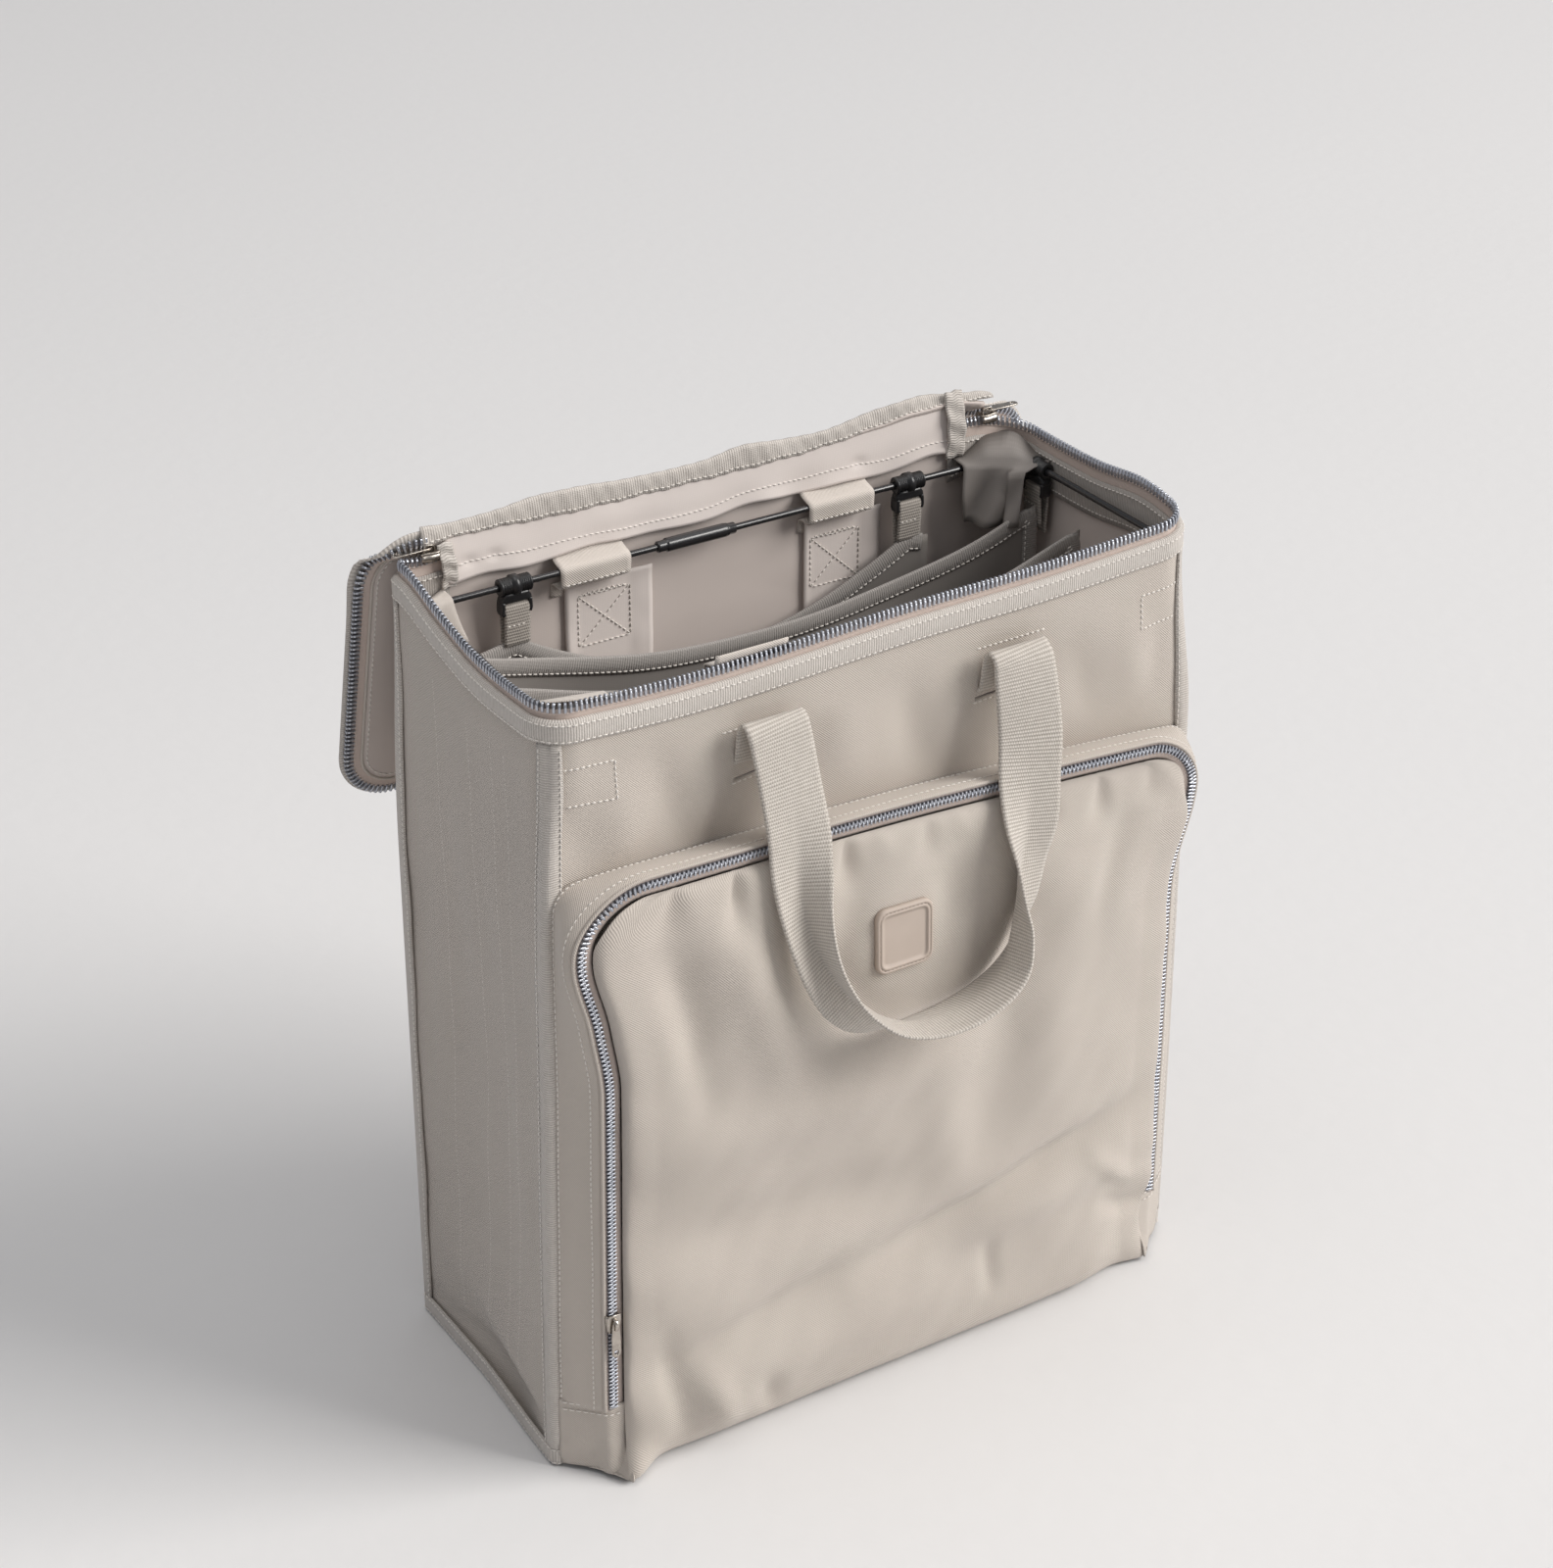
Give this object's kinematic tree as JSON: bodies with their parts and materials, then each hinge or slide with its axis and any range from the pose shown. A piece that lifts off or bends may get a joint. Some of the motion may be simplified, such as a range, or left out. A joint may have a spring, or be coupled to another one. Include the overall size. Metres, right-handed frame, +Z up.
{
  "type": "gift wrap storage bag",
  "caption": "Tall flat cloth storage bag with a zipped lid thrown back, a wire-held mouth, a clipped-in divided insert, a zipped front pocket and webbing handles.",
  "frame": {"origin": "centre of the bottom panel's underside, on the floor that the bag stands on", "axes": "+X along the front to its right, +Y from the front pocket to the back, +Z up"},
  "size_m": [0.458, 0.3022, 0.5115],
  "materials": {
    "twill": "greige polyester twill",
    "coated_lining": "smooth coated back of the twill",
    "grosgrain": "ribbed greige tape",
    "webbing": "ribbed greige webbing",
    "zipper_tape": "pinkish beige woven tape",
    "zipper_teeth": "gunmetal with bright edges",
    "nickel": "polished",
    "black_steel": "gloss black",
    "black_plastic": "satin black",
    "moulded_rubber": "matt greige",
    "board": "plain fibreboard"
  },
  "bodies": {
    "bag": {"front_panel": "twill", "back_panel": "twill", "left_side_panel": "twill", "right_side_panel": "twill", "bottom_panel": "twill", "base_board": "board", "corner_binding_front_left": "grosgrain", "corner_binding_front_right": "grosgrain", "corner_binding_back_left": "grosgrain", "corner_binding_back_right": "grosgrain", "bottom_binding": "grosgrain", "rim_binding": "grosgrain", "rim_facing": "coated_lining", "rim_zipper_tape": "zipper_tape", "rim_zipper_teeth": "zipper_teeth", "hinge_strip": "coated_lining", "hinge_binding": "grosgrain", "zipper_end_tab_left": "grosgrain", "zipper_end_tab_right": "grosgrain", "frame_wire": "black_steel", "frame_sleeve": "black_steel", "wire_loop_back_left": "twill", "wire_loop_back_right": "twill", "wire_loop_front_left": "twill", "wire_loop_front_right": "twill", "corner_pocket_back_left": "coated_lining", "corner_pocket_back_right": "coated_lining", "corner_pocket_front_left": "coated_lining", "corner_pocket_front_right": "coated_lining", "insert_pocket": "coated_lining", "insert_binding_rear": "grosgrain", "insert_binding_middle": "grosgrain", "insert_binding_front": "grosgrain", "pocket_gusset": "twill", "pocket_panel": "twill", "pocket_zipper_tape": "zipper_tape", "pocket_zipper_teeth": "zipper_teeth", "pocket_badge": "moulded_rubber", "front_handle_end_left": "webbing", "front_handle_end_right": "webbing"},
    "lid": {"lid_panel": "twill", "lid_zipper_tape": "zipper_tape", "lid_zipper_teeth": "zipper_teeth", "lid_binding": "grosgrain"},
    "lid_slider_left": {"lid_slider_left": "nickel"},
    "lid_slider_right": {"lid_slider_right": "nickel"},
    "lid_pull_left": {"lid_pull_left": "nickel"},
    "lid_pull_right": {"lid_pull_right": "nickel"},
    "pocket_slider": {"pocket_slider": "nickel"},
    "pocket_pull": {"pocket_pull": "nickel"},
    "front_handle": {"front_handle": "webbing"},
    "back_handle": {"back_handle": "webbing"},
    "clip_back_left": {"hanger_clip_back_left": "black_plastic", "hanger_strap_back_left": "grosgrain"},
    "clip_back_right": {"hanger_clip_back_right": "black_plastic", "hanger_strap_back_right": "grosgrain"},
    "clip_side_right": {"hanger_clip_side_right": "black_plastic", "hanger_strap_side_right": "grosgrain"}
  },
  "joints": [
    {"name": "lid_hinge", "type": "hinge", "parent": "bag", "child": "lid", "pos_m": [0, 0.0861, 0.5113], "axis": [1, 0, 0], "range_deg": [0, 257]},
    {"name": "lid_slider_left_travel", "type": "slide", "parent": "bag", "child": "lid_slider_left", "axis": [1, 0, 0], "range_m": [-0.001, 0]},
    {"name": "lid_slider_right_travel", "type": "slide", "parent": "bag", "child": "lid_slider_right", "axis": [1, 0, 0], "range_m": [-0.014, 0.002]},
    {"name": "lid_pull_left_swing", "type": "hinge", "parent": "lid_slider_left", "child": "lid_pull_left", "pos_m": [-0.1895, 0.0829, 0.5025], "axis": [0, 1, 0], "range_deg": [0, 110]},
    {"name": "lid_pull_right_swing", "type": "hinge", "parent": "lid_slider_right", "child": "lid_pull_right", "pos_m": [0.186, 0.0829, 0.5025], "axis": [0, -1, 0], "range_deg": [0, 150]},
    {"name": "pocket_slider_travel", "type": "slide", "parent": "bag", "child": "pocket_slider", "axis": [0, 0, 1], "range_m": [-0.045, 0.225]},
    {"name": "pocket_pull_swing", "type": "hinge", "parent": "pocket_slider", "child": "pocket_pull", "pos_m": [-0.1947, -0.115, 0.11], "axis": [-1, 0, 0], "range_deg": [0, 150]},
    {"name": "front_handle_swing", "type": "hinge", "parent": "bag", "child": "front_handle", "pos_m": [0, -0.1, 0.456], "axis": [-1, 0, 0], "range_deg": [0, 150]},
    {"name": "back_handle_swing", "type": "hinge", "parent": "bag", "child": "back_handle", "pos_m": [0, 0.0873, 0.45], "axis": [1, 0, 0], "range_deg": [0, 6]},
    {"name": "clip_back_left_travel", "type": "slide", "parent": "bag", "child": "clip_back_left", "axis": [1, 0, 0], "range_m": [-0.008, 0.008]},
    {"name": "clip_back_right_travel", "type": "slide", "parent": "bag", "child": "clip_back_right", "axis": [1, 0, 0], "range_m": [-0.008, 0.008]},
    {"name": "clip_side_right_travel", "type": "slide", "parent": "bag", "child": "clip_side_right", "axis": [0, 1, 0], "range_m": [-0.008, 0.001]}
  ]
}
